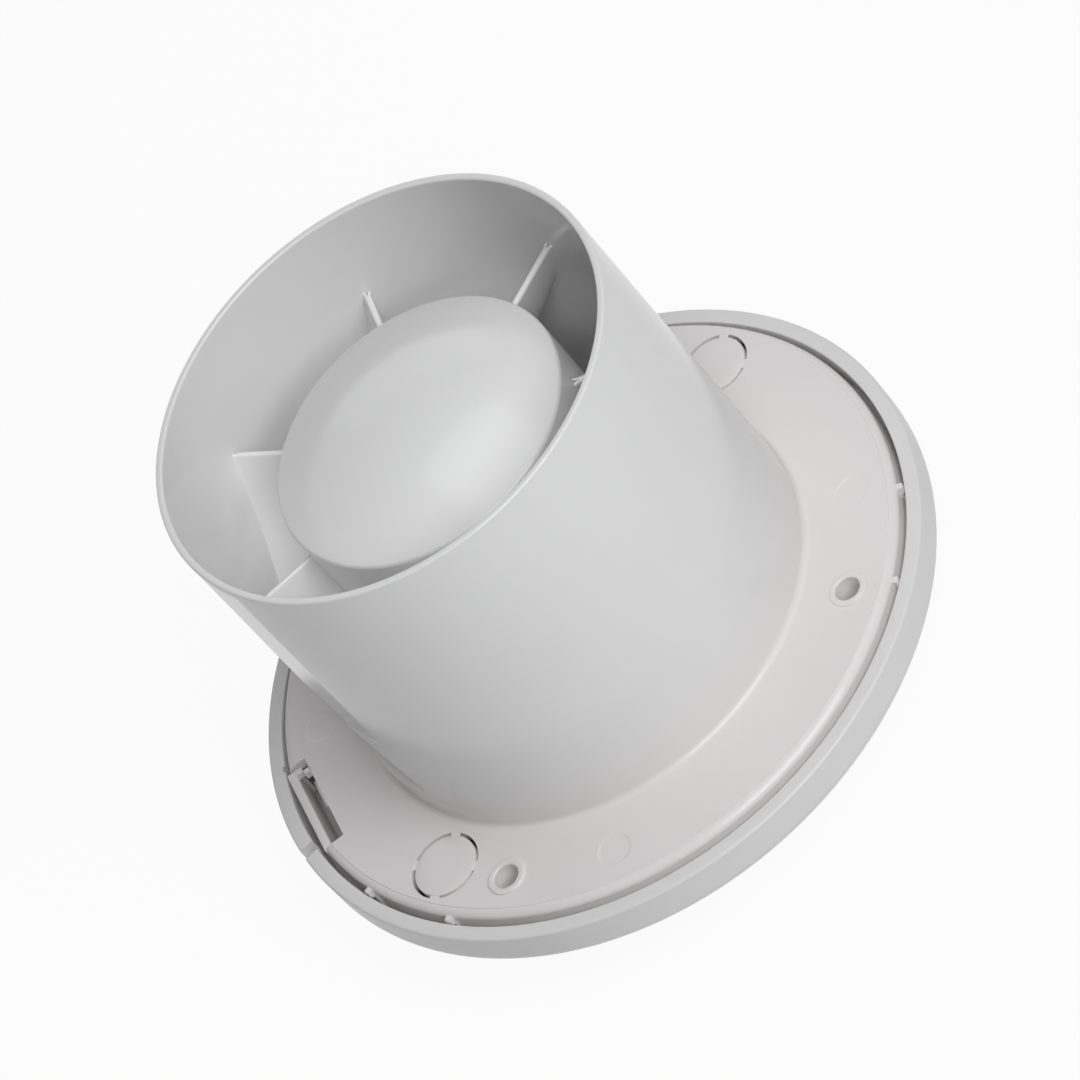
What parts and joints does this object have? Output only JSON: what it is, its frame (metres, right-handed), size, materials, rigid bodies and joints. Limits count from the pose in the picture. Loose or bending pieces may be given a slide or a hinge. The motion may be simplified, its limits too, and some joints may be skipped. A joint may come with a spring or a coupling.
{
  "type": "bathroom exhaust fan",
  "caption": "Round axial extractor fan for a wall duct: spigot with domed motor pod, swept guide vanes and impeller, back plate, pull-off cover and front panel, sprung release latch.",
  "frame": {"origin": "centre of the front panel's outer face, on the duct axis, at the lowest point of the part as it stands on its front panel", "axes": "+Z along the duct axis, out of the spigot; the four wall screws lie at 45 degrees to +X and +Y, and the release latch lies towards -X"},
  "size_m": [0.149, 0.149, 0.109],
  "materials": {
    "shell": "satin moulded ABS",
    "cover": "satin moulded ABS",
    "panel": "fine satin face",
    "guard": "matt moulded",
    "latch": "satin moulded ABS",
    "impeller": "matt moulded",
    "steel": "zinc plated",
    "core": "stacked steel sheet",
    "copper": "enamelled winding wire",
    "bronze": "sintered bronze",
    "zinc": "die cast",
    "felt": "oiled felt",
    "fibre": "hard fibre",
    "rubber": "moulded",
    "nylon": "natural nylon",
    "brown_pvc": "wire insulation",
    "blue_pvc": "wire insulation"
  },
  "bodies": {
    "housing_set": {"housing": "shell", "inner_duct": "shell", "motor_pod": "shell", "stator_core": "core", "coil_1": "copper", "coil_2": "copper", "coil_3": "copper", "coil_4": "copper", "front_bracket": "zinc", "rear_bracket": "zinc", "front_bush": "bronze", "front_bush_clip": "steel", "front_oil_felt": "felt", "rear_bush": "bronze", "rear_bush_clip": "steel", "rear_oil_felt": "felt", "through_bolt_1": "steel", "through_nut_1": "steel", "through_bolt_2": "steel", "through_nut_2": "steel", "mount_rubber_1": "rubber", "motor_screw_1": "steel", "mount_rubber_2": "rubber", "motor_screw_2": "steel", "mount_rubber_3": "rubber", "motor_screw_3": "steel", "terminal_block": "nylon", "terminal_screw_1": "bronze", "terminal_screw_2": "bronze", "terminal_screw_3": "bronze", "block_screw_1": "steel", "block_screw_2": "steel", "cable_clamp": "nylon", "clamp_screw_1": "steel", "clamp_screw_2": "steel", "motor_lead_live": "brown_pvc", "motor_lead_neutral": "blue_pvc"},
    "impeller_set": {"impeller": "impeller", "impeller_washer": "steel", "impeller_nut": "steel", "shaft_collar": "steel", "motor_shaft": "steel", "rotor": "core", "front_thrust_washer": "fibre", "rear_thrust_washer": "fibre"},
    "cover_set": {"front_cover": "cover", "inlet_guard": "guard"},
    "panel": {"front_panel": "panel"},
    "latch": {"release_latch": "latch"}
  },
  "joints": [
    {"name": "impeller_spin", "type": "hinge", "parent": "housing_set", "child": "impeller_set", "pos_m": [0, 0, 0], "axis": [0, 0, -1], "continuous": true},
    {"name": "cover_pull", "type": "slide", "parent": "housing_set", "child": "cover_set", "axis": [0, 0, -1], "range_m": [0, 0.04]},
    {"name": "panel_pull", "type": "slide", "parent": "cover_set", "child": "panel", "axis": [0, 0, -1], "range_m": [0, 0.025]},
    {"name": "latch_press", "type": "hinge", "parent": "housing_set", "child": "latch", "pos_m": [-0.06915, -0.00421, 0.0274], "axis": [0, 0, -1], "range_deg": [0, 3.5], "stiffness_Nm_per_rad": 0.05}
  ]
}
